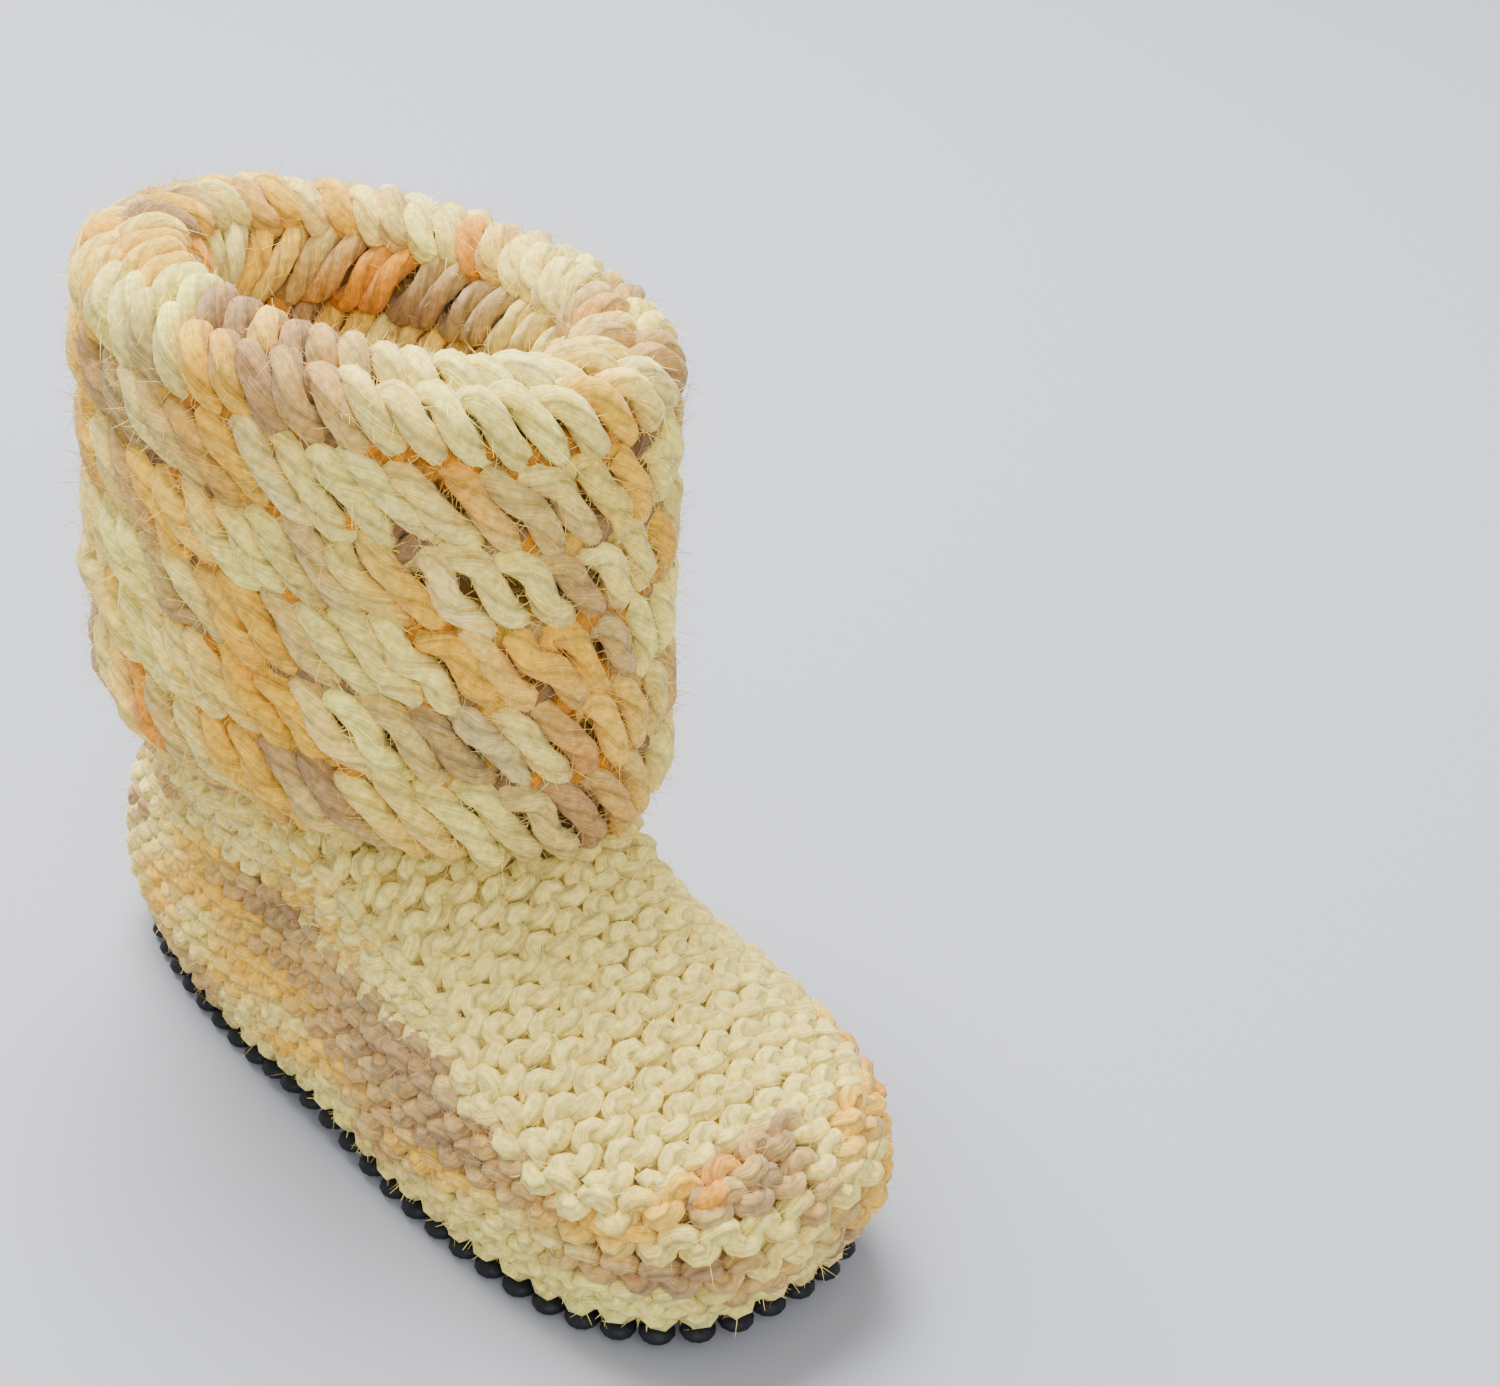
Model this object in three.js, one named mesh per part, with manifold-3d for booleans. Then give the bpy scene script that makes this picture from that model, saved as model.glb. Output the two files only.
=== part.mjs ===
// Knitted mukluk slipper boot for a small child, standing empty on its sole.
// Millimetres, +Z up, the toe points to -Y, the origin is under the middle of the foot.
import * as THREE from 'three';
import { ParametricGeometry } from 'three/addons/geometries/ParametricGeometry.js';
import { mergeVertices } from 'three/addons/utils/BufferGeometryUtils.js';
import Module from 'manifold-3d';

// Foot, measured outside the knitting
const FOOT_LENGTH = 139;
const BALL_WIDTH = 57;
const HEEL_WIDTH = 48;
const TOE_HEIGHT = 29;
const INSTEP_HEIGHT = 44;
const ARCH_RISE = 2;
const TOE_SPRING = 4;

// Leg and turned-down cuff
const BOOT_HEIGHT = 112;
const CUFF_LENGTH = 80;
const CUFF_WIDTH = 58;
const CUFF_CENTRE_SHARE = 0.651;
const CUFF_TURN = THREE.MathUtils.degToRad(18);
const CUFF_HEM_FRONT = 46;
const CUFF_HEM_BACK = 54;
const COLLAR_SLOPE = 5;
const LEG_EASE = 6;
const VAMP_STEP = 5;

// Fabric, grip mesh and the room between pieces
const WALL = 4.5;
const CUFF_WALL = 8.5;
const SOLE_THICKNESS = 4;
const GRIP_THICKNESS = 2.4;
const GRIP_OVERHANG = 0.2;
const SOLE_EDGE = 0.8;
const GRIP_EDGE = 0.6;
const CLEARANCE = 0.3;
const PANEL_GAP = 0.8;

// Instep panel: its lower edge, from the middle of the toe to its back corner. Each row is a
// share of a half turn and a ring level. Its top is a share of the way up to the leg's foot.
const PANEL_EDGE = [
  [0, 2.45], [0.12, 2.15], [0.24, 1.8], [0.3, 1.9],
  [0.34, 2.25], [0.38, 2.8], [0.43, 3.4], [0.48, 4.3], [0.52, 5.4],
];
const PANEL_SHARE = 0.9;

// Knitted relief
const BAND_RIDGES = 6;
const RIDGE_RELIEF = 0.8;
const CUFF_ROWS = 5;
const CUFF_RELIEF = 1.4;

// Mesh fineness
const STEPS_AROUND = 56;
const STEPS_PER_RIDGE = 3;
const STEPS_PER_RING = 2;
const PANEL_STEPS = 44;
const PANEL_CLIMB_STEPS = 9;
const EDGE_STEP = 0.01;

const TOE_Y = -FOOT_LENGTH / 2;
const HEEL_Y = FOOT_LENGTH / 2;
const SEAM_HEIGHT = GRIP_THICKNESS + CLEARANCE;
const CUFF_STACK = WALL + CLEARANCE + CUFF_WALL;
const ROLL_HEIGHT = CUFF_STACK / 2;
const LEG_TOP = BOOT_HEIGHT - ROLL_HEIGHT - CLEARANCE;
const LEG_CENTRE = TOE_Y + CUFF_CENTRE_SHARE * FOOT_LENGTH;
const LEG_HALF_LENGTH = CUFF_LENGTH / 2 - CUFF_WALL - CLEARANCE;
const LEG_HALF_WIDTH = CUFF_WIDTH / 2 - CUFF_WALL - CLEARANCE;
const LEG_FRONT = LEG_CENTRE - LEG_HALF_LENGTH;

const { lerp, smoothstep, clamp } = THREE.MathUtils;
const signedPower = (value, power) => Math.sign(value) * Math.abs(value) ** power;

// One row for each ring of the upper, from the sole's edge up to the top of the leg.
// Its front and back points, its half-widths at the ball and heel, how square it is
// and how far it is turned on the foot.
const bandLevel = (share) => lerp(SEAM_HEIGHT, TOE_HEIGHT, share);
const vampLevel = (share) => lerp(TOE_HEIGHT, INSTEP_HEIGHT, share);
const legRing = (frontZ, backZ) => ({
  frontY: LEG_FRONT, frontZ, backY: LEG_CENTRE + LEG_HALF_LENGTH, backZ,
  ball: LEG_HALF_WIDTH, heel: LEG_HALF_WIDTH, square: 2, turn: CUFF_TURN,
});
const alongFoot = (share) => TOE_Y + share * FOOT_LENGTH;
const PANEL_TOE = alongFoot(0.115);
const VAMP_END = LEG_FRONT - VAMP_STEP;
const ball = (share) => (share * BALL_WIDTH) / 2;
const heel = (share) => (share * HEEL_WIDTH) / 2;
const RINGS = [
  { frontY: alongFoot(0.035), frontZ: bandLevel(0), backY: alongFoot(0.97), backZ: bandLevel(0),
    ball: ball(0.9), heel: heel(0.88), square: 3, turn: 0 },
  { frontY: alongFoot(0), frontZ: bandLevel(0.36), backY: alongFoot(1), backZ: bandLevel(0.34),
    ball: ball(1), heel: heel(1), square: 3, turn: 0 },
  { frontY: alongFoot(0.022), frontZ: bandLevel(0.8), backY: alongFoot(0.994), backZ: bandLevel(0.76),
    ball: ball(0.96), heel: heel(0.99), square: 3, turn: 0 },
  { frontY: PANEL_TOE, frontZ: bandLevel(1.03), backY: alongFoot(0.97), backZ: bandLevel(1.15),
    ball: ball(0.77), heel: heel(0.94), square: 2.6, turn: 0 },
  { frontY: lerp(PANEL_TOE, VAMP_END, 0.49), frontZ: vampLevel(0.42),
    backY: alongFoot(0.945), backZ: vampLevel(0.6),
    ball: ball(0.71), heel: heel(0.93), square: 2.4, turn: 0.2 * CUFF_TURN },
  { frontY: VAMP_END, frontZ: vampLevel(0.97), backY: alongFoot(0.92), backZ: vampLevel(0.85),
    ball: ball(0.72), heel: heel(0.92), square: 2.1, turn: 0.8 * CUFF_TURN },
  legRing(CUFF_HEM_FRONT, CUFF_HEM_BACK),
  legRing(CUFF_HEM_FRONT + LEG_EASE, CUFF_HEM_BACK + LEG_EASE),
  legRing(lerp(CUFF_HEM_FRONT, LEG_TOP, 0.5), lerp(CUFF_HEM_BACK, LEG_TOP, 0.5)),
  legRing(LEG_TOP - COLLAR_SLOPE / 2, LEG_TOP + COLLAR_SLOPE / 2),
];
const TOP_RING = RINGS.length - 1;
const BAND_TOP_INDEX = 3;
const LEG_FOOT_INDEX = 6;

// A ring between two rows, on a smooth curve through their neighbours.
function ringAt(v) {
  const row = Math.min(Math.floor(v), TOP_RING - 1);
  const t = v - row;
  const at = (i) => RINGS[clamp(i, 0, TOP_RING)];
  const [a, b, c, d] = [at(row - 1), at(row), at(row + 1), at(row + 2)];
  const blended = {};
  for (const key of Object.keys(b)) {
    const [p, q, r, s] = [a[key], b[key], c[key], d[key]];
    blended[key] = q + 0.5 * t * (r - p + t * (2 * p - 5 * q + 4 * r - s + t * (3 * (q - r) + s - p)));
  }
  return blended;
}

// Height of the underside over the floor: flat at the heel and the ball, an arch, a toe spring.
function soleLift(y) {
  const share = (HEEL_Y - y) / FOOT_LENGTH;
  const arch = clamp((share - 0.32) / 0.3, 0, 1);
  const toe = clamp((share - 0.8) / 0.2, 0, 1);
  return ARCH_RISE * Math.sin(Math.PI * arch) ** 2 + TOE_SPRING * toe ** 2;
}

// The outside of the upper at an angle round it, 0 at the heel, and a ring between rows.
function skin(angle, v) {
  const ring = ringAt(v);
  const power = 2 / ring.square;
  const toward = (1 - signedPower(Math.cos(angle), power)) / 2;
  const width = lerp(ring.heel, ring.ball, smoothstep(toward, 0, 1));
  const middle = (ring.frontY + ring.backY) / 2;
  const point = new THREE.Vector3(
    width * signedPower(Math.sin(angle), power),
    lerp(ring.backY, ring.frontY, toward) - middle,
    lerp(ring.backZ, ring.frontZ, toward),
  );
  point.applyAxisAngle(new THREE.Vector3(0, 0, 1), ring.turn);
  point.y += middle;
  point.z += soleLift(point.y) * (1 - smoothstep(point.z, SEAM_HEIGHT, INSTEP_HEIGHT));
  return point;
}

// The same point moved out along the surface's own direction, level at both open ends.
function skinMoved(angle, v, out) {
  const step = 1e-3;
  const low = clamp(v - step, 0, TOP_RING - 2 * step);
  const along = skin(angle, low + 2 * step).sub(skin(angle, low));
  const around = skin(angle + step, v).sub(skin(angle - step, v));
  const normal = along.cross(around).normalize();
  normal.z *= smoothstep(v, 0, 0.5) * (1 - smoothstep(v, TOP_RING - 0.5, TOP_RING));
  return skin(angle, v).addScaledVector(normal.normalize(), out);
}

// A closed body from rings that lie one after another and come back to the first.
function ringBody(stations) {
  const count = stations.length;
  const geometry = new ParametricGeometry((u, v, target) => {
    target.copy(stations[Math.round(v * count) % count](2 * Math.PI * (1 - u)));
  }, STEPS_AROUND, count);
  return welded(geometry);
}

// A closed body through sections that begin and end folded flat.
function sectionBody(sections) {
  const points = sections[0].length;
  const last = sections.length - 1;
  const geometry = new ParametricGeometry((u, v, target) => {
    target.copy(sections[Math.round(v * last)][Math.round(u * points) % points]);
  }, points, last);
  return welded(geometry);
}

function welded(geometry) {
  geometry.deleteAttribute('normal');
  geometry.deleteAttribute('uv');
  const merged = mergeVertices(geometry, 1e-4);
  const index = merged.getIndex().array;
  const kept = [];
  for (let i = 0; i < index.length; i += 3) {
    const [a, b, c] = index.slice(i, i + 3);
    if (a !== b && b !== c && c !== a) kept.push(a, b, c);
  }
  merged.setIndex(kept);
  return merged;
}

const stitchBump = (count) => Math.abs(Math.sin(Math.PI * count));

// The knitted wall: outside up from the sole's edge, inside down again.
function wallBody(outsideLevels, relief) {
  const outside = outsideLevels.map((v) => (angle) => skinMoved(angle, v, relief(angle, v)));
  const insideLevels = levels(TOP_RING, 0, STEPS_PER_RING * TOP_RING);
  const inside = insideLevels.map((v) => (angle) => skinMoved(angle, v, -WALL));
  return ringBody([...outside, ...inside]);
}

function levels(from, to, count) {
  return Array.from({ length: count + 1 }, (_, i) => lerp(from, to, i / count));
}

function bandedWall() {
  const band = levels(0, BAND_TOP_INDEX, BAND_RIDGES * STEPS_PER_RIDGE);
  const above = levels(BAND_TOP_INDEX, TOP_RING, STEPS_PER_RING * (TOP_RING - BAND_TOP_INDEX)).slice(1);
  return wallBody([...band, ...above], (angle, v) => {
    if (v >= BAND_TOP_INDEX) return 0;
    return RIDGE_RELIEF * (stitchBump((v / BAND_TOP_INDEX) * BAND_RIDGES) - 1);
  });
}

// The panel's lower edge, as a ring level, at a share of a half turn from the toe.
function panelEdge(share) {
  const next = Math.max(1, PANEL_EDGE.findIndex(([end]) => share <= end));
  const [[startShare, startLevel], [endShare, endLevel]] = PANEL_EDGE.slice(next - 1, next + 1);
  return lerp(startLevel, endLevel, (share - startShare) / (endShare - startShare));
}

// The piece of the wall over the front of the foot. Widened by a gap and grown in thickness,
// it is the room the wall leaves for the panel.
function wallPatch(gap, grow) {
  const corner = PANEL_EDGE.at(-1)[0];
  const reach = corner * Math.PI + gap / (BALL_WIDTH / 2);
  const top = lerp(BAND_TOP_INDEX, LEG_FOOT_INDEX, PANEL_SHARE);
  const edgeLevel = (side) => panelEdge(Math.min(Math.abs(side), 1) * corner);
  const edgePoint = (side) => skin(Math.PI + side * reach, edgeLevel(side));
  const sections = levels(-1, 1, PANEL_STEPS).map((side) => {
    const angle = Math.PI + side * reach;
    const edge = edgeLevel(side);
    const along = edgePoint(side + EDGE_STEP).sub(edgePoint(side - EDGE_STEP)).normalize();
    const climbing = skin(angle, edge + EDGE_STEP).sub(skin(angle, edge));
    const ringWidth = climbing.length() / EDGE_STEP;
    const slant = Math.sqrt(1 - along.dot(climbing.normalize()) ** 2);
    const climb = levels(edge - gap / slant / ringWidth, top + gap / ringWidth, PANEL_CLIMB_STEPS);
    return [
      ...climb.map((v) => skinMoved(angle, v, grow)),
      ...climb.toReversed().map((v) => skinMoved(angle, v, -WALL - grow)),
    ];
  });
  const folded = (loop) => loop.map((point, i) => point.clone().lerp(loop[loop.length - 1 - i], 0.5));
  return sectionBody([folded(sections[0]), ...sections, folded(sections.at(-1))]);
}

const wasm = await Module();
wasm.setup();

function toSolid(geometry) {
  const vertProperties = Float32Array.from(geometry.getAttribute('position').array);
  const triVerts = Uint32Array.from(geometry.getIndex().array);
  return new wasm.Manifold(new wasm.Mesh({ numProp: 3, vertProperties, triVerts }));
}

function toGeometry(solid) {
  const mesh = solid.getMesh();
  const geometry = new THREE.BufferGeometry();
  geometry.setAttribute('position', new THREE.BufferAttribute(mesh.vertProperties, 3));
  geometry.setIndex(new THREE.BufferAttribute(mesh.triVerts, 1));
  return geometry;
}

// The cuff goes round the leg: a point moved out from the leg's outside, at a height.
function cuffPoint(angle, out, height) {
  const x = LEG_HALF_WIDTH * Math.sin(angle);
  const y = LEG_HALF_LENGTH * Math.cos(angle);
  const normal = new THREE.Vector3(x / LEG_HALF_WIDTH ** 2, y / LEG_HALF_LENGTH ** 2, 0).normalize();
  const point = new THREE.Vector3(x, y, height).addScaledVector(normal, out);
  point.applyAxisAngle(new THREE.Vector3(0, 0, 1), CUFF_TURN);
  point.y += LEG_CENTRE;
  return point;
}

function cuffBody() {
  const frontShare = (angle) => (1 - Math.cos(angle)) / 2;
  const top = (angle) => BOOT_HEIGHT + COLLAR_SLOPE * (0.5 - frontShare(angle));
  const hem = (angle) => lerp(CUFF_HEM_BACK, CUFF_HEM_FRONT, frontShare(angle));
  const shoulder = (angle) => top(angle) - ROLL_HEIGHT;
  const stations = [];
  const add = (out, height) => stations.push((angle) => cuffPoint(angle, out, height(angle)));
  const steps = CUFF_ROWS * STEPS_PER_RIDGE;
  for (let i = 0; i < steps; i++) {
    const valley = CUFF_RELIEF * (stitchBump(i / STEPS_PER_RIDGE) - 1);
    add(CLEARANCE + CUFF_WALL + valley, (angle) => lerp(hem(angle), shoulder(angle), i / steps));
  }
  const rollSteps = 8;
  for (let i = 0; i <= rollSteps; i++) {
    const turn = (Math.PI * i) / rollSteps;
    const out = CUFF_STACK / 2 - WALL + (CUFF_STACK / 2) * Math.cos(turn);
    add(out, (angle) => shoulder(angle) + ROLL_HEIGHT * Math.sin(turn));
  }
  for (const share of [1, 0.5]) add(CLEARANCE, (angle) => lerp(hem(angle), shoulder(angle), share));
  add(CLEARANCE, (angle) => hem(angle) + CUFF_RELIEF);
  add(CLEARANCE + CUFF_RELIEF, hem);
  return ringBody(stations);
}

// A layer under the foot, at a level over the sole's own lift, with its edge rounded.
function soleBody(level, thickness, overhang, edge) {
  const sections = levels(0, Math.PI, STEPS_AROUND / 2).map((angle) => {
    const flat = skinMoved(angle, 0, overhang - edge);
    const rim = skinMoved(angle, 0, overhang);
    const at = (side, from, height) =>
      new THREE.Vector3(side * from.x, from.y, level + height + soleLift(from.y));
    return [
      at(-1, flat, 0), at(1, flat, 0), at(1, rim, thickness / 2),
      at(1, flat, thickness), at(-1, flat, thickness), at(-1, rim, thickness / 2),
    ];
  });
  return sectionBody(sections);
}

function piece(name, geometry, color, roughness) {
  const material = new THREE.MeshStandardMaterial({ color, roughness, metalness: 0 });
  const mesh = new THREE.Mesh(geometry, material);
  mesh.name = name;
  return mesh;
}

const panel = wallPatch(0, 0);
const opening = wallPatch(PANEL_GAP, WALL / 2);
const upper = toSolid(bandedWall()).subtract(toSolid(opening));

const boot = new THREE.Group();
boot.add(
  piece('upper', toGeometry(upper), 0xdfc79a, 0.95),
  piece('instep_panel', panel, 0xe8dea5, 0.95),
  piece('cuff', cuffBody(), 0xdcc091, 0.95),
  piece('knit_sole', soleBody(SEAM_HEIGHT, SOLE_THICKNESS, -WALL - CLEARANCE, SOLE_EDGE), 0xbe9f82, 0.95),
  piece('grip_sole', soleBody(0, GRIP_THICKNESS, GRIP_OVERHANG, GRIP_EDGE), 0x1c1e20, 0.6),
);

export default boot;
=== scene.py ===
"""Looks of the knitted mukluk slipper boot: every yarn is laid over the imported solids."""
import math

import bmesh
import bpy
import numpy as np
from mathutils import Matrix, Vector


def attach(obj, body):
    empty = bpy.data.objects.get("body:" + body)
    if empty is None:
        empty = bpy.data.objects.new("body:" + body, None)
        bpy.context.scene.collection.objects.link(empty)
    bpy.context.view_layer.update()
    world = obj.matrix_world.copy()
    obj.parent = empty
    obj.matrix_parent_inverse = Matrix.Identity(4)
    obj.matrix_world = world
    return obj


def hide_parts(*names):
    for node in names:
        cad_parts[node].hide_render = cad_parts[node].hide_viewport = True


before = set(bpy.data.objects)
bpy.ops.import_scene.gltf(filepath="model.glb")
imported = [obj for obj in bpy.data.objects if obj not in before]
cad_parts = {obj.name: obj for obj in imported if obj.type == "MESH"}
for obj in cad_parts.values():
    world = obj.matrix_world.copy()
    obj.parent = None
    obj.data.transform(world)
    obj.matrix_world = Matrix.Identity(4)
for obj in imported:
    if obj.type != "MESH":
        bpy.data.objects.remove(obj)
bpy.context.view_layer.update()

MM = 0.001
PI = math.pi
rng = np.random.default_rng(7)

# Sizes of the solids, in mm
FOOT_LENGTH, BALL_WIDTH, HEEL_WIDTH = 139, 57, 48
TOE_HEIGHT, INSTEP_HEIGHT, ARCH_RISE, TOE_SPRING = 29, 44, 2, 4
BOOT_HEIGHT, CUFF_LENGTH, CUFF_WIDTH, CUFF_CENTRE_SHARE = 112, 80, 58, 0.651
CUFF_TURN = math.radians(18)
CUFF_HEM_FRONT, CUFF_HEM_BACK, COLLAR_SLOPE, LEG_EASE, VAMP_STEP = 46, 54, 5, 6, 5
WALL, CUFF_WALL, GRIP_THICKNESS, CLEARANCE = 4.5, 8.5, 2.4, 0.3
SOLE_THICKNESS = 4

# The instep panel's lower edge: a share of a half turn from the toe, and a ring level
PANEL_EDGE = np.array([
    [0, 2.45], [0.12, 2.15], [0.24, 1.8], [0.3, 1.9],
    [0.34, 2.25], [0.38, 2.8], [0.43, 3.4], [0.48, 4.3], [0.52, 5.4],
])
PANEL_CORNER, PANEL_TOP = PANEL_EDGE[-1, 0], 5.7

TOE_Y, HEEL_Y = -FOOT_LENGTH / 2, FOOT_LENGTH / 2
SEAM_HEIGHT = GRIP_THICKNESS + CLEARANCE
CUFF_STACK = WALL + CLEARANCE + CUFF_WALL
ROLL_HEIGHT = CUFF_STACK / 2
LEG_TOP = BOOT_HEIGHT - ROLL_HEIGHT - CLEARANCE
LEG_CENTRE = TOE_Y + CUFF_CENTRE_SHARE * FOOT_LENGTH
LEG_HALF_LENGTH = CUFF_LENGTH / 2 - CUFF_WALL - CLEARANCE
LEG_HALF_WIDTH = CUFF_WIDTH / 2 - CUFF_WALL - CLEARANCE
LEG_FRONT = LEG_CENTRE - LEG_HALF_LENGTH
VAMP_END = LEG_FRONT - VAMP_STEP
PANEL_TOE = TOE_Y + 0.115 * FOOT_LENGTH


def lerp(a, b, t):
    return a + (b - a) * t


def smoothstep(x, a, b):
    t = np.clip((x - a) / (b - a), 0, 1)
    return t * t * (3 - 2 * t)


def band_level(s):
    return lerp(SEAM_HEIGHT, TOE_HEIGHT, s)


def vamp_level(s):
    return lerp(TOE_HEIGHT, INSTEP_HEIGHT, s)


def along_foot(s):
    return TOE_Y + s * FOOT_LENGTH


def leg_ring(front, back):
    return [LEG_FRONT, front, LEG_CENTRE + LEG_HALF_LENGTH, back,
            LEG_HALF_WIDTH, LEG_HALF_WIDTH, 2, CUFF_TURN]


B, H = BALL_WIDTH / 2, HEEL_WIDTH / 2
RINGS = np.array([
    [along_foot(0.035), band_level(0), along_foot(0.97), band_level(0), 0.9 * B, 0.88 * H, 3, 0],
    [along_foot(0), band_level(0.36), along_foot(1), band_level(0.34), B, H, 3, 0],
    [along_foot(0.022), band_level(0.8), along_foot(0.994), band_level(0.76), 0.96 * B, 0.99 * H, 3, 0],
    [PANEL_TOE, band_level(1.03), along_foot(0.97), band_level(1.15), 0.77 * B, 0.94 * H, 2.6, 0],
    [lerp(PANEL_TOE, VAMP_END, 0.49), vamp_level(0.42), along_foot(0.945), vamp_level(0.6),
     0.71 * B, 0.93 * H, 2.4, 0.2 * CUFF_TURN],
    [VAMP_END, vamp_level(0.97), along_foot(0.92), vamp_level(0.85), 0.72 * B, 0.92 * H, 2.1,
     0.8 * CUFF_TURN],
    leg_ring(CUFF_HEM_FRONT, CUFF_HEM_BACK),
    leg_ring(CUFF_HEM_FRONT + LEG_EASE, CUFF_HEM_BACK + LEG_EASE),
    leg_ring(lerp(CUFF_HEM_FRONT, LEG_TOP, 0.5), lerp(CUFF_HEM_BACK, LEG_TOP, 0.5)),
    leg_ring(LEG_TOP - COLLAR_SLOPE / 2, LEG_TOP + COLLAR_SLOPE / 2),
])
TOP_RING, BAND_TOP, LEG_FOOT = len(RINGS) - 1, 3, 6


# The boot's own surface
def signed_power(value, power):
    return np.sign(value) * np.abs(value) ** power


def ring_at(v):
    v = np.asarray(v, float)
    row = np.minimum(np.floor(v), TOP_RING - 1).astype(int)
    t = (v - row)[..., None]
    p, q, r, s = (RINGS[np.clip(row + k, 0, TOP_RING)] for k in (-1, 0, 1, 2))
    return q + 0.5 * t * (r - p + t * (2 * p - 5 * q + 4 * r - s + t * (3 * (q - r) + s - p)))


def sole_lift(y):
    share = (HEEL_Y - y) / FOOT_LENGTH
    arch = np.clip((share - 0.32) / 0.3, 0, 1)
    toe = np.clip((share - 0.8) / 0.2, 0, 1)
    return ARCH_RISE * np.sin(PI * arch) ** 2 + TOE_SPRING * toe ** 2


def skin(angle, v):
    angle, v = np.broadcast_arrays(np.asarray(angle, float), np.asarray(v, float))
    front_y, front_z, back_y, back_z, ball, heel, square, turn = np.moveaxis(ring_at(v), -1, 0)
    power = 2 / square
    toward = (1 - signed_power(np.cos(angle), power)) / 2
    width = lerp(heel, ball, smoothstep(toward, 0, 1))
    middle = (front_y + back_y) / 2
    x = width * signed_power(np.sin(angle), power)
    y = lerp(back_y, front_y, toward) - middle
    z = lerp(back_z, front_z, toward)
    x, y = x * np.cos(turn) - y * np.sin(turn), x * np.sin(turn) + y * np.cos(turn) + middle
    z = z + sole_lift(y) * (1 - smoothstep(z, SEAM_HEIGHT, INSTEP_HEIGHT))
    return np.stack([x, y, z], -1)


def unit(a):
    return a / np.maximum(np.linalg.norm(a, axis=-1, keepdims=True), 1e-9)


def skin_normal(angle, v):
    step = 1e-3
    low = np.clip(v - step, 0, TOP_RING - 2 * step)
    along = skin(angle, low + 2 * step) - skin(angle, low)
    around = skin(angle + step, v) - skin(angle - step, v)
    normal = unit(np.cross(along, around))
    level = smoothstep(v, 0, 0.5) * (1 - smoothstep(v, TOP_RING - 0.5, TOP_RING))
    normal[..., 2] *= level
    return unit(normal)


def skin_moved(angle, v, out):
    angle, v = np.broadcast_arrays(np.asarray(angle, float), np.asarray(v, float))
    return skin(angle, v) + skin_normal(angle, v) * np.asarray(out)[..., None]


def cuff_point(angle, out, height):
    x, y = LEG_HALF_WIDTH * np.sin(angle), LEG_HALF_LENGTH * np.cos(angle)
    normal = unit(np.stack([x / LEG_HALF_WIDTH ** 2, y / LEG_HALF_LENGTH ** 2, 0 * x], -1))
    p = np.stack([x, y, height + 0 * x], -1) + normal * np.asarray(out)[..., None]
    c, s = math.cos(CUFF_TURN), math.sin(CUFF_TURN)
    x, y = p[..., 0] * c - p[..., 1] * s, p[..., 0] * s + p[..., 1] * c
    return np.stack([x, y + LEG_CENTRE, p[..., 2]], -1)


def cuff_profile(angle, share):
    """The cuff's section: 0 at the hem outside, 1 at the shoulder, 2 over the roll, 3 down inside."""
    front = (1 - np.cos(angle)) / 2
    top = BOOT_HEIGHT + COLLAR_SLOPE * (0.5 - front)
    hem = lerp(CUFF_HEM_BACK, CUFF_HEM_FRONT, front)
    shoulder = top - ROLL_HEIGHT
    turn = PI * np.clip(share - 1, 0, 1)
    middle = CUFF_STACK / 2 - WALL
    out = middle + CUFF_STACK / 2 * np.cos(turn)
    height = np.where(share < 1, lerp(hem, shoulder, share), shoulder + ROLL_HEIGHT * np.sin(turn))
    height = np.where(share > 2, shoulder - (share - 2) * (shoulder - hem), height)
    return out, height


def cuff_surface(angle, share, sink):
    out, height = cuff_profile(angle, share)
    turn = PI * np.clip(share - 1, 0, 1)
    return cuff_point(angle, out - sink * np.cos(turn), height - sink * np.sin(turn))


# Yarn laid as swept tubes
PLIES = 3
PLY_VALLEY, PLY_DEPTH = 0.84, 0.26


def quad_mesh(name, points, faces, look):
    """A mesh of many joined quads, from points in metres."""
    mesh = bpy.data.meshes.new(name)
    mesh.vertices.add(len(points))
    mesh.vertices.foreach_set("co", points.ravel())
    mesh.loops.add(len(faces) * 4)
    mesh.loops.foreach_set("vertex_index", faces.ravel().astype(np.int32))
    mesh.polygons.add(len(faces))
    mesh.polygons.foreach_set("loop_start", np.arange(0, len(faces) * 4, 4, dtype=np.int32))
    mesh.materials.append(look)
    return mesh


def dyed(mesh, tones):
    """Gives each point of a mesh its own yarn colour."""
    layer = mesh.attributes.new("dye", "FLOAT_COLOR", "POINT")
    layer.data.foreach_set("color", np.concatenate([tones, np.ones((len(tones), 1))], 1).ravel())


def placed_object(name, mesh, slot, *nodes):
    """Puts a mesh into the scene as a piece of the boot."""
    piece = bpy.data.objects.new(name, mesh)
    bpy.context.collection.objects.link(piece)
    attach(piece, "root")
    if nodes:
        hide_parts(*nodes)
    return piece


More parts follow.
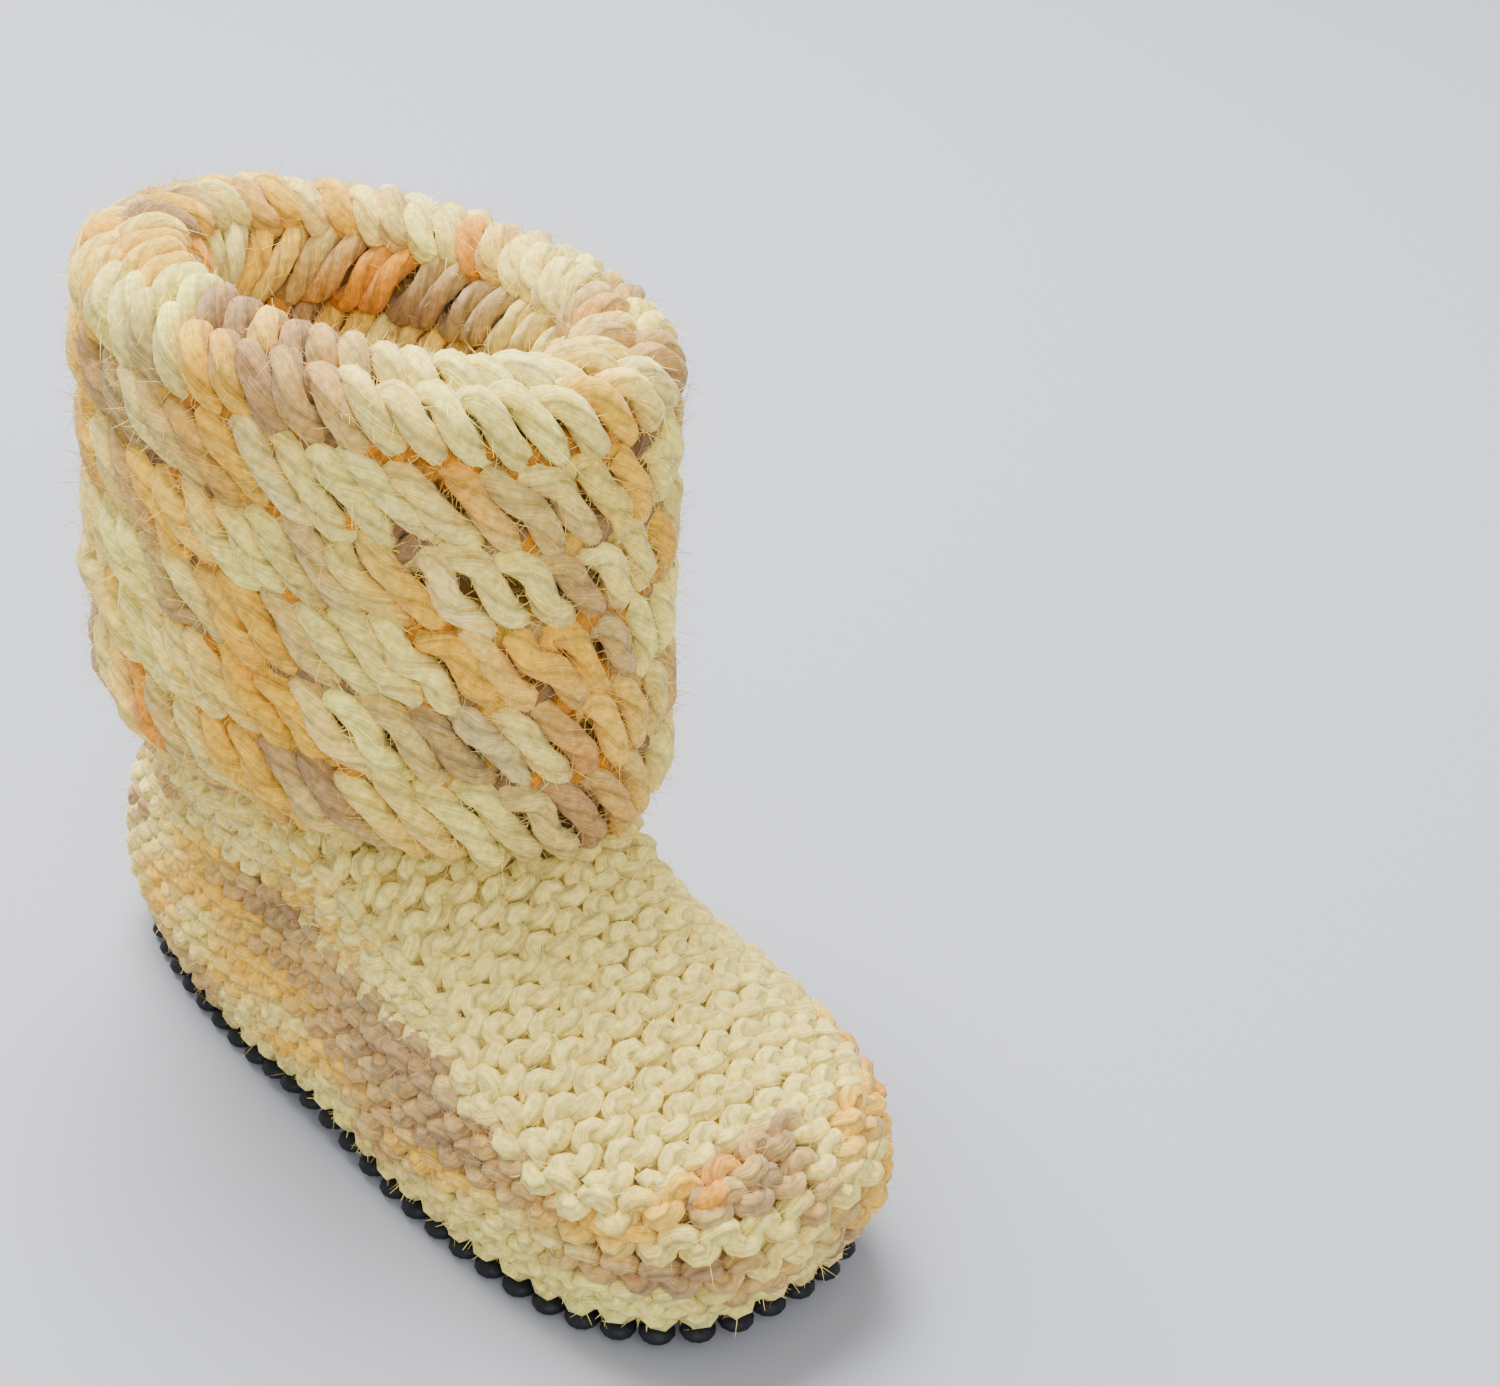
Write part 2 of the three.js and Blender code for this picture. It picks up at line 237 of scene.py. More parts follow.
class Yarns:
    """Many swept yarns, joined into one mesh."""

    def __init__(self):
        self.points, self.faces, self.dye, self.uv = [], [], [], []
        self.count = 0
        self.roots = []

    def add(self, path, facing, radius, dye, sides=8, closed=False, twist=0.16, phase=0.0):
        n = len(path)
        if closed:
            tangent = np.roll(path, -1, 0) - np.roll(path, 1, 0)
        else:
            tangent = np.gradient(path, axis=0)
        tangent = unit(tangent)
        side = unit(np.cross(tangent, facing))
        top = np.cross(side, tangent)
        theta = 2 * PI * np.arange(sides) / sides
        radius = np.broadcast_to(radius, (n,))[:, None, None]
        across, over = np.sin(theta)[None, :, None], np.cos(theta)[None, :, None]
        ring = over * top[:, None] + across * side[:, None]
        last = path[:1] if closed else path[-1:]
        step = np.linalg.norm(np.diff(path, axis=0, append=last), axis=1)
        run = np.concatenate([[0], np.cumsum(step)])
        if closed:
            turns = max(1, round(run[-1] * twist))
            run = run / run[-1] * turns / twist
        lobes = np.abs(np.sin(PI * (PLIES * theta[None] / (2 * PI) + run[:n, None] * twist + phase)))
        points = path[:, None] + ring * radius * (PLY_VALLEY + PLY_DEPTH * lobes[..., None])
        rows = n if closed else n - 1
        i, j = np.meshgrid(np.arange(rows), np.arange(sides), indexing="ij")
        i2, j2 = (i + 1) % n, (j + 1) % sides
        quads = np.stack([i * sides + j, i2 * sides + j, i2 * sides + j2, i * sides + j2], -1)
        quads = quads.reshape(-1, 4)
        u0, u1 = run[i], run[i + 1] if closed else run[np.minimum(i + 1, n - 1)]
        w0, w1 = j / sides, (j + 1) / sides
        corners = ((u0, w0), (u1, w0), (u1, w1), (u0, w1))
        uv = np.stack([np.stack([u, w], -1) for u, w in corners], -2)
        uv = uv.reshape(-1, 4, 2)
        uv[..., 0] = uv[..., 0] * twist + phase
        self.points.append(points.reshape(-1, 3))
        self.faces.append(quads + self.count)
        self.uv.append(uv)
        self.dye.append(np.repeat(dye, sides, axis=0))
        self.count += n * sides
        if not closed:
            for end, flip in ((0, False), (n - 1, True)):
                ids = end * sides + np.arange(sides) + self.count - n * sides
                for k in range(1, sides - 2, 2):
                    quad = [ids[0], ids[k], ids[k + 1], ids[k + 2]]
                    self.faces.append(np.array([quad[::-1] if flip else quad]))
                    self.uv.append(np.full((1, 4, 2), 0.0))
        self.roots.append((points, ring, tangent, dye))

    def build(self, name, slot, material, *nodes):
        mesh = quad_mesh(name, np.concatenate(self.points) * MM, np.concatenate(self.faces), material)
        mesh.polygons.foreach_set("use_smooth", np.ones(len(mesh.polygons), bool))
        layer = mesh.uv_layers.new(name="yarn")
        layer.data.foreach_set("uv", np.concatenate(self.uv).ravel())
        dyed(mesh, np.concatenate(self.dye))
        mesh.update(calc_edges=True)
        mesh.validate()
        return placed_object(name, mesh, slot, *nodes)


def measured(curve, closed):
    """A curve, with its first point repeated if closed, and the length run up to each point."""
    loop = np.concatenate([curve, curve[:1]]) if closed else curve
    run = np.concatenate([[0], np.cumsum(np.linalg.norm(np.diff(loop, axis=0), axis=1))])
    return loop, run


def at_run(loop, run, where):
    return np.stack([np.interp(where, run, loop[:, k]) for k in range(3)], -1)


def colour(r, g, b):
    """A given display colour as linear light."""
    s = np.array([r, g, b]) / 255
    return np.where(s <= 0.04045, s / 12.92, ((s + 0.055) / 1.055) ** 2.4)


CREAM = colour(255, 233, 128)
PALE = colour(255, 236, 152)
LIME = colour(255, 240, 128)
ORANGE = colour(250, 194, 54)
AMBER = colour(240, 156, 12)
TAN = colour(206, 164, 94)
MAUVE = colour(174, 136, 92)
# SHADED_GAP_TONE is the backing wool's brown in the gaps between stitches, darkened as painted shade.
SHADED_GAP_TONE = colour(132, 98, 46)
PALETTE = {"c": CREAM, "p": PALE, "l": LIME, "o": ORANGE, "a": AMBER, "t": TAN, "m": MAUVE}


def dye_runs(length, spacing, pattern, start=0.0, soft=1.5):
    """Colours along a yarn: pattern is a string of palette letters, each one run of some millimetres."""
    edges = np.concatenate([[0], np.cumsum(spacing)])
    total = edges[-1]
    where = (length + start) % total
    index = np.searchsorted(edges, where, side="right") - 1
    index = np.clip(index, 0, len(pattern) - 1)
    tones = np.array([PALETTE[k] for k in pattern])
    here = tones[index]
    ahead = tones[(index + 1) % len(pattern)]
    left = edges[index + 1] - where
    mix = np.clip(0.5 - left / (2 * soft), 0, 0.5)[:, None]
    behind = tones[index - 1]
    since = where - edges[index]
    back = np.clip(0.5 - since / (2 * soft), 0, 0.5)[:, None]
    return here * (1 - mix - back) + ahead * mix + behind * back


def random_runs(letters, weights, mean, count):
    weights = np.array(weights) / sum(weights)
    pattern = "".join(rng.choice(list(letters), p=weights) for _ in range(count))
    return pattern, rng.uniform(0.5, 1.5, count) * mean


def stitch_path(curve, up, normal, stitches, closed, shape, seg):
    """Bends a row's line into stitches. shape(t) gives the shift along, up and out at a count."""
    loop, run = measured(curve, closed)
    ups = np.concatenate([up, up[:1]]) if closed else up
    normals = np.concatenate([normal, normal[:1]]) if closed else normal
    total = run[-1]
    pitch = total / stitches
    count = stitches * seg + (0 if closed else 1)
    t = np.arange(count) / seg
    along, rise, out = shape(t)
    where = (t + along) * pitch
    where = where % total if closed else np.clip(where, 0, total)
    base = at_run(loop, run, where)
    u = unit(at_run(ups, run, where))
    w = unit(at_run(normals, run, where))
    return base + u * rise[:, None] + w * out[:, None], w, where


def frames(curve, up_hint, normal, closed):
    """Makes the up directions square to the row's line and to the normal."""
    tangent = np.roll(curve, -1, 0) - np.roll(curve, 1, 0) if closed else np.gradient(curve, axis=0)
    tangent = unit(tangent)
    up = unit(np.cross(normal, tangent))
    flip = np.sign(np.sum(up * up_hint, -1, keepdims=True))
    return up * np.where(flip == 0, 1, flip)


def garter(yarns, curve, up, normal, pitch, dyes, closed, size=1.0, radius=1.52, seg=9, sides=12,
           rise=0.85, part=0.55, deep=1.0, square=0.05, jitter=0.14):
    """One ridge: a yarn whose heads come forward above, and one whose feet come forward below."""
    stitches = max(2, round(measured(curve, closed)[1][-1] / pitch))
    wobble = rng.normal(0, jitter, (stitches + 2, 3))
    for sign in (1, -1):
        def shape(t):
            shifted = t + 0.25 - 0.25 * sign
            k = np.clip(np.floor(shifted) % stitches, 0, stitches + 1).astype(int)
            wave = np.cos(2 * PI * t)
            along = square * np.sin(4 * PI * t)
            local = np.sin(PI * (shifted % 1)) ** 2
            return (along, size * (rise * wave + sign * part) + wobble[k, 0] * local,
                    size * sign * deep * wave + wobble[k, 1] * local)
        path, facing, where = stitch_path(curve, up, normal, stitches, closed, shape, seg)
        dye = dyes(where, sign, path)
        thick = radius * size * (1 + rng.normal(0, 0.03, len(path)))
        yarns.add(path, facing, thick, dye, sides=sides, closed=closed, phase=rng.uniform(0, 60))


# Materials
def material(name):
    made = bpy.data.materials.new(name)
    made.use_nodes = True
    nodes = made.node_tree.nodes
    return made, nodes, made.node_tree.links, nodes["Principled BSDF"]


def noise(nodes, links, place, scale, detail):
    made = nodes.new("ShaderNodeTexNoise")
    made.inputs["Scale"].default_value = scale
    made.inputs["Detail"].default_value = detail
    links.new(place, made.inputs["Vector"])
    return made.outputs["Fac"]


def ranged(nodes, links, value, span, target):
    """Maps a value from one span to another."""
    made = nodes.new("ShaderNodeMapRange")
    for key, number in zip(("From Min", "From Max", "To Min", "To Max"), (*span, *target)):
        made.inputs[key].default_value = number
    links.new(value, made.inputs["Value"])
    return made.outputs[0]


def computed(nodes, links, operation, *terms):
    """A sum worked out by a node. Each term is a number or another node's output."""
    made = nodes.new("ShaderNodeMath")
    made.operation = operation
    for socket, term in zip(made.inputs, terms):
        if isinstance(term, float):
            socket.default_value = term
        else:
            links.new(term, socket)
    return made.outputs[0]


def relief(nodes, links, shader, height, strength, distance):
    made = nodes.new("ShaderNodeBump")
    made.inputs["Strength"].default_value = strength
    made.inputs["Distance"].default_value = distance
    links.new(height, made.inputs["Height"])
    links.new(made.outputs[0], shader.inputs["Normal"])


WOOL_SURFACE = {
    "Roughness": 0.9, "Sheen Weight": 0.12, "Sheen Roughness": 0.5, "Specular IOR Level": 0.15,
    "Subsurface Weight": 0.12, "Subsurface Radius": (0.0012, 0.0008, 0.0004), "Subsurface Scale": 1.0,
}
HEATHER = 0.3


def wool(name, mottle=0.75):
    """Twisted yarn: plies with painted shade in their grooves, streaked fibres and heathered patches over
    each point's own colour.
    """
    made, nodes, links, shader = material(name)
    for key, value in WOOL_SURFACE.items():
        shader.inputs[key].default_value = value
    dye = nodes.new("ShaderNodeAttribute")
    dye.attribute_name = "dye"
    place = nodes.new("ShaderNodeTexCoord")
    uv = nodes.new("ShaderNodeUVMap")
    uv.uv_map = "yarn"
    parts = nodes.new("ShaderNodeSeparateXYZ")
    links.new(uv.outputs["UV"], parts.inputs[0])
    run, round_it = parts.outputs["X"], parts.outputs["Y"]

    turn = computed(nodes, links, "MULTIPLY_ADD", round_it, float(PLIES), run)
    wave = computed(nodes, links, "SINE", computed(nodes, links, "MULTIPLY", turn, PI))
    ply = computed(nodes, links, "ABSOLUTE", wave)
    stretch = nodes.new("ShaderNodeCombineXYZ")
    links.new(computed(nodes, links, "MULTIPLY", run, 0.16), stretch.inputs[0])
    links.new(turn, stretch.inputs[1])
    fibres = noise(nodes, links, stretch.outputs[0], 14, 4)
    patches = noise(nodes, links, stretch.outputs[0], 5, 3)
    grains = noise(nodes, links, place.outputs["Object"], 900, 3)

    grain = ranged(nodes, links, grains, (0.3, 0.7), (1 - HEATHER, 1 + HEATHER * 0.5))
    streak = ranged(nodes, links, fibres, (0.3, 0.7), (0.72, 1.2))
    # Painted shade: the colour falls to 0.66 of itself in the grooves between plies.
    shade = ranged(nodes, links, ply, (0.0, 0.5), (0.66, 1.0))
    worn = computed(nodes, links, "MULTIPLY", grain, streak)
    tint = nodes.new("ShaderNodeVectorMath")
    tint.operation = "SCALE"
    links.new(dye.outputs["Color"], tint.inputs[0])
    links.new(computed(nodes, links, "MULTIPLY", worn, shade), tint.inputs["Scale"])
    warm = nodes.new("ShaderNodeVectorMath")
    warm.operation = "MULTIPLY"
    warm.inputs[1].default_value = (1.0, 0.74, 0.28)
    links.new(tint.outputs[0], warm.inputs[0])
    streaked = nodes.new("ShaderNodeMix")
    streaked.data_type = "RGBA"
    links.new(ranged(nodes, links, patches, (0.5, 0.7), (0.0, mottle)), streaked.inputs[0])
    links.new(tint.outputs[0], streaked.inputs[6])
    links.new(warm.outputs[0], streaked.inputs[7])
    links.new(streaked.outputs[2], shader.inputs["Base Color"])
    height = computed(nodes, links, "MULTIPLY_ADD", fibres, 0.35, ply)
    relief(nodes, links, shader, height, 0.9, 0.0005)
    return made


def plain(name, tone, roughness=0.95, bump=0.0, scale=700):
    made, nodes, links, shader = material(name)
    shader.inputs["Base Color"].default_value = (*tone, 1)
    shader.inputs["Roughness"].default_value = roughness
    shader.inputs["Specular IOR Level"].default_value = 0.2
    if bump:
        place = nodes.new("ShaderNodeTexCoord")
        height = noise(nodes, links, place.outputs["Object"], scale, 2)
        relief(nodes, links, shader, height, bump, 0.0006)
    return made


WOOL = wool("wool")
PLAIN_WOOL = wool("plain_wool", mottle=0.2)
# The backing under the yarns is darker than the yarns: painted shade for the gaps between stitches.
SHADED_BACKING = plain("shaded_wool_in_the_gaps", SHADED_GAP_TONE, bump=0.8)
# The cream backing is a darkened cream: painted shade in the panel's gaps between stitches.
SHADED_CREAM_BACKING = plain("shaded_cream_in_the_gaps", colour(196, 168, 84), bump=0.8)
RUBBER = plain("rubber_mesh", colour(27, 29, 33), roughness=0.5, bump=0.5, scale=900)
FIBRE, fibre_nodes, fibre_links, fibre_shader = material("fibre")
fibre_dye = fibre_nodes.new("ShaderNodeAttribute")
fibre_dye.attribute_name = "dye"
fibre_links.new(fibre_dye.outputs["Color"], fibre_shader.inputs["Base Color"])
fibre_shader.inputs["Roughness"].default_value = 0.8


# Shells under the yarns
def shell(name, slot, look, point, around, across, *nodes):
    """A body under the yarns, laid from a plain grid. point(u, w) takes both shares."""
    bm = bmesh.new()
    bmesh.ops.create_grid(bm, x_segments=around, y_segments=across, size=0.5)
    co = np.array([v.co for v in bm.verts])
    placed = point(co[:, 0] + 0.5, co[:, 1] + 0.5) * MM
    for vertex, p in zip(bm.verts, placed):
        vertex.co = p
    bmesh.ops.remove_doubles(bm, verts=bm.verts, dist=1e-6)
    bmesh.ops.recalc_face_normals(bm, faces=bm.faces)
    mesh = bpy.data.meshes.new(name)
    bm.to_mesh(mesh)
    bm.free()
    for face in mesh.polygons:
        face.use_smooth = True
    mesh.materials.append(look)
    return placed_object(name, mesh, slot, *nodes)


def wall_section(w, sunk, inner):
    """Up the outside of the wall and down its inside, as w goes round."""
    v = np.where(w < 0.5, 2 * w, 2 * (1 - w)) * TOP_RING
    return v, np.where(w < 0.5, -sunk, -inner)


def upper_shell(u, w):
    w = w % 1.0
    v, out = wall_section(w, 1.7, WALL - 1.0)
    return skin_moved(2 * PI * u, v, out)


shell("upper_core", "variegated_knit", SHADED_BACKING, upper_shell, 120, 80, "upper")


def edge_level(angle):
    """Ring level at which the banded knitting ends, round the whole boot."""
    share = np.abs(angle % (2 * PI) - PI) / PI
    return np.where(share <= PANEL_CORNER, np.interp(share, *PANEL_EDGE.T), LEG_FOOT + 0.4)


def panel_shell(u, w):
    w = w % 1.0
    share = (u * 2 - 1) * PANEL_CORNER
    foot = np.interp(np.abs(share), *PANEL_EDGE.T)
    v = foot + np.where(w < 0.5, 2 * w, 2 * (1 - w)) * (PANEL_TOP - foot)
    out = np.where(w < 0.5, -1.6, -2.5)
    return skin_moved(PI + share * PI, v, out)


shell("panel_core", "cream_knit", SHADED_CREAM_BACKING, panel_shell, 60, 40, "instep_panel")


def cuff_shell(u, w):
    w = w % 1.0
    share = w * 4
    angle = 2 * PI * u
    sink = 2.2 + np.maximum(share - 3, 0) * (CUFF_WALL - 3)
    return cuff_surface(angle, np.clip(share, 0, 3), sink)


shell("cuff_core", "cuff_knit", SHADED_BACKING, cuff_shell, 120, 80, "cuff")


# The side band and the heel
def varied(letters, weights, mean):
    """Colours along a row's yarn, in runs drawn at random."""
    pattern, spacing = random_runs(letters, weights, mean, 60)

    def dyes(where, sign, path):
        return dye_runs(where, spacing, pattern, 4.0 if sign < 0 else 0)
    return dyes


STITCH, RIDGE_PITCH = 5.1, 4.9
SINK = 1.5
LEVELS = np.linspace(0, LEG_FOOT + 0.5, 200)
ROUND = np.linspace(0, 2 * PI, 361)
grid = skin(ROUND[:, None], LEVELS[None, :])
CLIMB = np.cumsum(np.linalg.norm(np.diff(grid, axis=1, prepend=grid[:, :1]), axis=2), axis=1)
EDGE = np.array([np.interp(v, LEVELS, c) for v, c in zip(edge_level(ROUND), CLIMB)])
ROUND_LENGTH, CHART_LENGTH = 330.0, 33


def surface_row(angle, v, out, closed):
    """A line on the boot with its directions, through given angles and levels."""
    normal = skin_normal(angle, v)
    curve = skin(angle, v) + normal * out
    hint = skin(angle, np.minimum(v + 0.05, TOP_RING)) - skin(angle, np.maximum(v - 0.05, 0))
    return curve, frames(curve, hint, normal, closed), normal


def climb_levels(distance):
    """Levels, at every angle round the boot, that lie some distance up from the sole's edge."""
    return np.array([np.interp(d, c, LEVELS) for d, c in zip(distance, CLIMB)])


def arcs(kept):
    """Runs of angles round the boot where a flag holds, as lists of places in ROUND."""
    kept = kept[:-1]
    if kept.all():
        return [np.arange(360)]
    first = np.where(~kept)[0][0]
    order = (np.arange(360) + first) % 360
    flags = np.concatenate([[False], kept[order], [False]]).astype(int)
    starts, ends = np.where(np.diff(flags) == 1)[0], np.where(np.diff(flags) == -1)[0]
    return [order[a:b] for a, b in zip(starts, ends) if b - a > 5]


BAND_MIX = ("cclpottam", [5, 3, 3, 2, 3, 3, 2, 0.6, 1], 16)
BORDER_MIX = ("ccclpt", [4, 4, 4, 2, 2, 1], 24)
# One letter for every 10 mm from the middle of the heel round to the toe, ridge by ridge
BAND_CHARTS = [
    "ctocctcclcccllllccc", "tcocttcoctclllttcmco", "cttcococotoctmtccto", "toococoottmtoclctcco",
    "tccmcoottmmtmmtmtco", "cotccotmtmmccoaoco", "tcoctccoccctocc", "cctctcctoccc",
]


def charted(letters, mix):
    """Colours by where a stitch lies along the foot: a chart for one side, at random on the other."""
    rest, _ = random_runs(mix[0], mix[1], 0, CHART_LENGTH - len(letters))
    pattern, spacing = letters + rest, np.full(CHART_LENGTH, ROUND_LENGTH / CHART_LENGTH)
    shift = rng.uniform(-2, 2)

    def dyes(where, sign, path):
        place = np.arctan2(-2.4 * path[:, 0], path[:, 1]) % (2 * PI) / (2 * PI) * ROUND_LENGTH
        tone = dye_runs(place, spacing, pattern, shift + (3.5 if sign < 0 else 0), soft=3.5)
        fade = np.interp(place, np.linspace(0, ROUND_LENGTH, 60), rng.uniform(0.0, 0.22, 60))
        return lerp(tone, PALE, fade[:, None])
    return dyes


band, ankle = Yarns(), Yarns()
for row in range(12):
    distance = (row + 0.5) * RIDGE_PITCH
    v = climb_levels(np.full(361, distance))
    letters = BAND_CHARTS[row] if row < len(BAND_CHARTS) else ""
    for part in arcs(distance + 0.25 * RIDGE_PITCH < EDGE):
        closed = len(part) == 360
        curve, up, normal = surface_row(ROUND[part], v[part], -SINK, closed)
        garter(band if row < 5 else ankle, curve, up, normal, STITCH, charted(letters, BAND_MIX), closed)
v = climb_levels(EDGE)
border = np.abs(ROUND - PI) / PI < PANEL_CORNER - 0.015
for part in arcs(border):
    curve, up, normal = surface_row(ROUND[part], v[part], -SINK + 0.5, False)
    garter(ankle, curve, up, normal, 5.6, charted("cccccccccccccoatmcooa", BORDER_MIX), False, rise=0.95)
band.build("band_yarn", "variegated_knit", WOOL)
ankle.build("ankle_yarn", "variegated_knit", WOOL)


# The instep panel
PANEL_PITCH = 5.2
PANEL_LEVELS = np.linspace(1.6, LEG_FOOT + 0.25, 240)
FRONT_HALF = np.linspace(PI / 2 - 0.4, PI, 200)
PANEL_GRID = {s: skin(PI + s * (PI - FRONT_HALF)[None, :], PANEL_LEVELS[:, None]) for s in (-1, 1)}


def across_row(y0):
    """Lines across the top of the foot at one distance from the toe: one, or two beside the leg."""
    halves = {}
    meets = False
    for side, points in PANEL_GRID.items():
        pairs = []
        for level, line in zip(PANEL_LEVELS, points):
            if line[-1, 1] > y0:
                meets = True
                break
            reach = np.interp(y0, line[::-1, 1], (PI - FRONT_HALF)[::-1])
            pairs.append((PI + side * reach, level))
        halves[side] = pairs
    if meets:
        return [np.array(halves[-1] + halves[1][::-1])]
    return [np.array(h) for h in halves.values()]


def past_edge(pairs):
    """Keeps the part of a line that lies past the ridge along the panel's edge."""
    near = np.round(pairs[:, 0] % (2 * PI) / (2 * PI) * 360).astype(int)
    past = np.array([np.interp(v, LEVELS, CLIMB[k]) - EDGE[k] for k, v in zip(near, pairs[:, 1])])
    return pairs[past > 0.35 * RIDGE_PITCH]


panel = Yarns()
middle = skin(PI, LEVELS)
run = CLIMB[180]
toe_starts = np.arange(EDGE[180] + 0.75 * PANEL_PITCH, run[-1], PANEL_PITCH)
starts = list(np.interp(toe_starts, run, middle[:, 1]))
while starts[-1] < 27:
    starts.append(starts[-1] + PANEL_PITCH)
for y in starts:
    for pairs in across_row(y):
        if len(pairs) > 8:
            pairs = past_edge(pairs)
        if len(pairs) < 8:
            continue
        angle, v = pairs[:, 0], pairs[:, 1]
        normal = skin_normal(angle, v)
        curve = skin(angle, v) - normal * SINK
        if np.sum(np.linalg.norm(np.diff(curve, axis=0), axis=1)) < 9:
            continue
        up = frames(curve, np.array([0.0, 1.0, 0.3]), normal, False)
        garter(panel, curve, up, normal, STITCH, varied("cccccl", [4, 4, 4, 4, 4, 1], 40), False)
panel.build("panel_yarn", "cream_knit", PLAIN_WOOL)


# The cuff
OUTSIDE_ROWS, ROLL_ROWS, INSIDE_ROWS = 5.3, 2.0, 5.3
STRAND = 1.9
ROW_HEIGHT = 10.6


def cuff_at(angle, q, out):
    """A place on the cuff: q counts rows from the hem, up the outside, over the roll and down inside."""
    share = np.where(q < OUTSIDE_ROWS, q / OUTSIDE_ROWS, 1 + (q - OUTSIDE_ROWS) / ROLL_ROWS)
    past = OUTSIDE_ROWS + ROLL_ROWS
    share = np.where(q > past, 2 + (q - past) / INSIDE_ROWS, share)
    return cuff_surface(angle, share, -np.asarray(out))


def smooth(points, count):
    """A smooth curve through a few points."""
    p = np.concatenate([[2 * points[0] - points[1]], points, [2 * points[-1] - points[-2]]])
    t = np.linspace(0, len(points) - 1 - 1e-9, count)
    k = t.astype(int)
    t = (t - k)[:, None]
    a, b, c, d = p[k], p[k + 1], p[k + 2], p[k + 3]
    return b + 0.5 * t * (c - a + t * (2 * a - 5 * b + 4 * c - d + t * (3 * (b - c) + d - a)))


# One strand of a stitch: along the row, up, and out, in mm. It comes up rounded and runs down aslant.
HOOK = np.array([
    [-5.0, 0.9, -4.6], [-5.4, 3.6, -2.8], [-3.9, 5.2, -0.7], [-0.9, 3.0, 0.5],
    [1.9, -0.2, 0.5], [4.4, -3.1, -0.6], [5.9, -4.8, -2.6], [6.3, -5.6, -4.8],
])


def turned_stitches(yarns, q, pitch, slant, dyes, start, tall=1.0, radius=STRAND, points=22, sides=12,
                    depth=0.0, rough=0.3):
    """A row of double stitches round the cuff. slant(angle) leans them: 1 is down to the right."""
    ring = cuff_at(ROUND, np.full(361, q), np.full(361, -2.0))
    run = np.concatenate([[0], np.cumsum(np.linalg.norm(np.diff(ring, axis=0), axis=1))])
    stitches = round(run[-1] / pitch)
    per = run[-1] / stitches
    bend = lambda where: np.interp(where % run[-1], run, ROUND)
    for k in range(stitches):
        for strand in (0, 1):
            where = (k + start + strand * 0.46) * per
            lean = slant(bend(where))
            shape = HOOK + rng.normal(0, rough, HOOK.shape) * [1, 1, 0.6]
            if strand:
                shape = shape * [1, 0.94, 1] + [0, -0.3, 0.25]
            across = -(shape[:, 0] * lean) + (1 - abs(lean)) * shape[:, 0] * 0.25
            angles, rows = bend(where + across), q + shape[:, 1] * tall / ROW_HEIGHT
            path = cuff_at(angles, rows, shape[:, 2] + depth)
            farther = cuff_at(angles, rows, shape[:, 2] + depth + 1)
            facing = smooth(farther - path, points)
            path = smooth(path, points)
            step = np.concatenate([[0], np.cumsum(np.linalg.norm(np.diff(path, axis=0), axis=1))])
            dye = dyes(bend(where), step, strand)
            thick = radius * (1 - 0.25 * np.abs(np.linspace(-1, 1, points)) ** 3)
            yarns.add(path, facing, thick, dye, sides=sides, phase=rng.uniform(0, 60), twist=0.14)


def outside_slant(angle):
    """Leans down to the right on the side that is seen, and upright at the front's far end."""
    degrees = math.degrees(angle)
    return float(np.interp(degrees, [0, 120, 160, 200, 330, 360], [0.7, 0.5, 0.15, 0.85, 1.05, 0.8]))


CUFF_MIX = ("cclpottma", [4, 3, 3, 2, 4, 3, 3, 2.5, 2], 15)
SEEN_FROM = math.radians(332)
# One letter for every stretch of the cuff, from its left to its right as seen
RIM_CHART = "ocollmomttccllcocct"
CUFF_CHARTS = [
    "mmcactomlolmmtoc", "acolcooollmcaoct", "acolcmoclcocotlc", "loctoaltlocltcom", "commcooclacctolc",
]


def cuff_dyes(letters):
    """Colours of a row round the cuff, by its chart in front and at random behind."""
    hidden, _ = random_runs(CUFF_MIX[0], CUFF_MIX[1], 0, len(letters))
    pattern = letters + hidden
    spacing = np.full(len(pattern), 10.0)

    def dyes(angle, along, strand):
        place = (SEEN_FROM - angle) % (2 * PI) / (2 * PI) * len(pattern) * 10
        place = place + strand * 5 + along * 0.3 + rng.normal(0, 2.5)
        tone = dye_runs(place, spacing, pattern, soft=3.0)
        other = PALETTE["ccptl"[rng.integers(5)]]
        faded = lerp(tone, other, rng.choice([0.05, 0.25, 0.6], p=[0.5, 0.3, 0.2]))
        return faded * rng.uniform(0.9, 1.08)
    return dyes


def painted_shade_under_dyes(angle, along, strand):
    """The strands that lie behind, in the deeper tones and darkened further by painted shade."""
    # Painted shade for the recess behind the front strands: the tone is scaled by 0.55 to 0.85.
    tone = PALETTE["atoam"[rng.integers(5)]] * rng.uniform(0.55, 0.85)
    return np.tile(tone, (len(along), 1))


outer, under = Yarns(), Yarns()
for row, letters in enumerate(CUFF_CHARTS):
    q = 0.42 + row * 1.03
    turned_stitches(outer, q, 10.0, outside_slant, cuff_dyes(letters), tall=1.08,
                    start=rng.random(), rough=0.55)
    turned_stitches(under, q + 0.5, 9.0, lambda a: -0.8, painted_shade_under_dyes, tall=0.7,
                    start=rng.random(), depth=-2.0, points=10, sides=8)
outer.build("cuff_yarn", "cuff_knit", WOOL)
under.build("cuff_under_yarn", "cuff_knit", WOOL)
rim = Yarns()
turned_stitches(rim, 5.55, 9.4, lambda a: 0.75, cuff_dyes(RIM_CHART), tall=0.95, start=rng.random())
turned_stitches(rim, 6.45, 8.2, lambda a: 0.6, cuff_dyes(RIM_CHART), tall=0.9,
                start=rng.random(), points=20)
